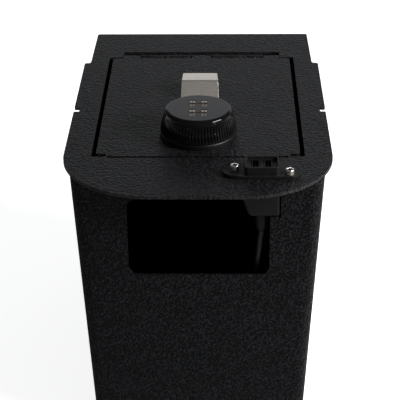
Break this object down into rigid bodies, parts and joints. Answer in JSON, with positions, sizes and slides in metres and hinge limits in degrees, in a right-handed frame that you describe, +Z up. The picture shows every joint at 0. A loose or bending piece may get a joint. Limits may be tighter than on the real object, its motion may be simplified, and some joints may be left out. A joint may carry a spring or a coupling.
{
  "type": "console safe",
  "caption": "Tapered sheet-steel safe box with a broad top plate, a flush hinged lid locked by a round combination knob, a bent pull, a front window and a charging socket.",
  "frame": {"origin": "on the floor's underside, midway across and midway along the top plate", "axes": "+X to the right seen from the front, +Y to the back, where the lid's hinge is, +Z up"},
  "size_m": [0.2228, 0.35, 0.2805],
  "materials": {
    "fine_powder_coat": "fine textured black powder coat",
    "coarse_powder_coat": "coarse speckled black powder coat",
    "stainless_steel": "satin",
    "zinc_steel": "zinc plated",
    "bright_steel": "bright plated",
    "black_nickel": "satin black nickel plate",
    "warm_nickel": "satin nickel plate",
    "gloss_black_plastic": "gloss",
    "matt_black_plastic": "matt",
    "grey_plastic": "matt",
    "lead_jacket": "matt"
  },
  "bodies": {
    "safe": {"floor_panel": "coarse_powder_coat", "box_shell": "coarse_powder_coat", "back_panel": "coarse_powder_coat", "top_plate": "fine_powder_coat", "lid_rest_left": "fine_powder_coat", "lid_rest_right": "fine_powder_coat", "lid_rest_front": "fine_powder_coat", "hinge_leaf": "fine_powder_coat", "hinge_pin": "zinc_steel", "socket_housing": "matt_black_plastic", "socket_port_left": "black_nickel", "socket_port_right": "black_nickel", "socket_tongue_left": "grey_plastic", "socket_tongue_right": "grey_plastic", "socket_screw_left": "bright_steel", "socket_screw_right": "bright_steel", "socket_rear_body": "grey_plastic", "lead_boss": "grey_plastic", "socket_lead": "lead_jacket", "plug_grip": "matt_black_plastic", "plug_shell": "bright_steel"},
    "lid": {"lid_panel": "fine_powder_coat", "pull_handle": "stainless_steel", "knob_rose": "gloss_black_plastic", "lock_sleeve": "zinc_steel", "lock_nut": "zinc_steel", "left_guide_inner": "zinc_steel", "left_guide_outer": "zinc_steel", "right_guide_inner": "zinc_steel", "right_guide_outer": "zinc_steel", "front_guide": "zinc_steel"},
    "knob": {"knob_shell": "gloss_black_plastic", "knob_back_plate": "matt_black_plastic", "knob_spindle": "zinc_steel", "knob_back_screw_left": "zinc_steel", "knob_back_screw_right": "zinc_steel", "wheel_axle_front": "zinc_steel", "wheel_axle_rear": "zinc_steel", "cam_disc": "zinc_steel", "cam_washer": "zinc_steel", "cam_nut": "zinc_steel"},
    "number_wheel_front_left": {"number_wheel_front_left": "warm_nickel"},
    "number_wheel_front_right": {"number_wheel_front_right": "warm_nickel"},
    "number_wheel_rear_left": {"number_wheel_rear_left": "warm_nickel"},
    "number_wheel_rear_right": {"number_wheel_rear_right": "warm_nickel"},
    "left_bolt": {"left_bolt": "bright_steel", "left_bolt_pin": "zinc_steel"},
    "right_bolt": {"right_bolt": "bright_steel", "right_bolt_pin": "zinc_steel"},
    "front_bolt": {"front_bolt": "bright_steel", "front_bolt_pin": "zinc_steel"}
  },
  "joints": [
    {"name": "lid_hinge", "type": "hinge", "parent": "safe", "child": "lid", "pos_m": [0, 0.1172, 0.2511], "axis": [-1, 0, 0], "range_deg": [0, 100]},
    {"name": "knob_turn", "type": "hinge", "parent": "lid", "child": "knob", "pos_m": [0, -0.0622, 0.254], "axis": [0, 0, -1], "range_deg": [0, 90]},
    {"name": "left_bolt_slide", "type": "slide", "parent": "lid", "child": "left_bolt", "axis": [-1, 0, 0], "range_m": [0, 0.012]},
    {"name": "right_bolt_slide", "type": "slide", "parent": "lid", "child": "right_bolt", "axis": [1, 0, 0], "range_m": [0, 0.012]},
    {"name": "front_bolt_slide", "type": "slide", "parent": "lid", "child": "front_bolt", "axis": [0, -1, 0], "range_m": [0, 0.012]},
    {"name": "number_wheel_front_left_turn", "type": "hinge", "parent": "knob", "child": "number_wheel_front_left", "pos_m": [-0.005, -0.0717, 0.2719], "axis": [1, 0, 0], "continuous": true},
    {"name": "number_wheel_front_right_turn", "type": "hinge", "parent": "knob", "child": "number_wheel_front_right", "pos_m": [0.005, -0.0717, 0.2719], "axis": [1, 0, 0], "continuous": true},
    {"name": "number_wheel_rear_left_turn", "type": "hinge", "parent": "knob", "child": "number_wheel_rear_left", "pos_m": [-0.005, -0.0527, 0.2719], "axis": [1, 0, 0], "continuous": true},
    {"name": "number_wheel_rear_right_turn", "type": "hinge", "parent": "knob", "child": "number_wheel_rear_right", "pos_m": [0.005, -0.0527, 0.2719], "axis": [1, 0, 0], "continuous": true}
  ],
  "couplings": [
    {"joint": "left_bolt_slide", "follows": "knob_turn", "m_per_rad": 0.0076394},
    {"joint": "right_bolt_slide", "follows": "knob_turn", "m_per_rad": 0.0076394},
    {"joint": "front_bolt_slide", "follows": "knob_turn", "m_per_rad": 0.0076394}
  ]
}
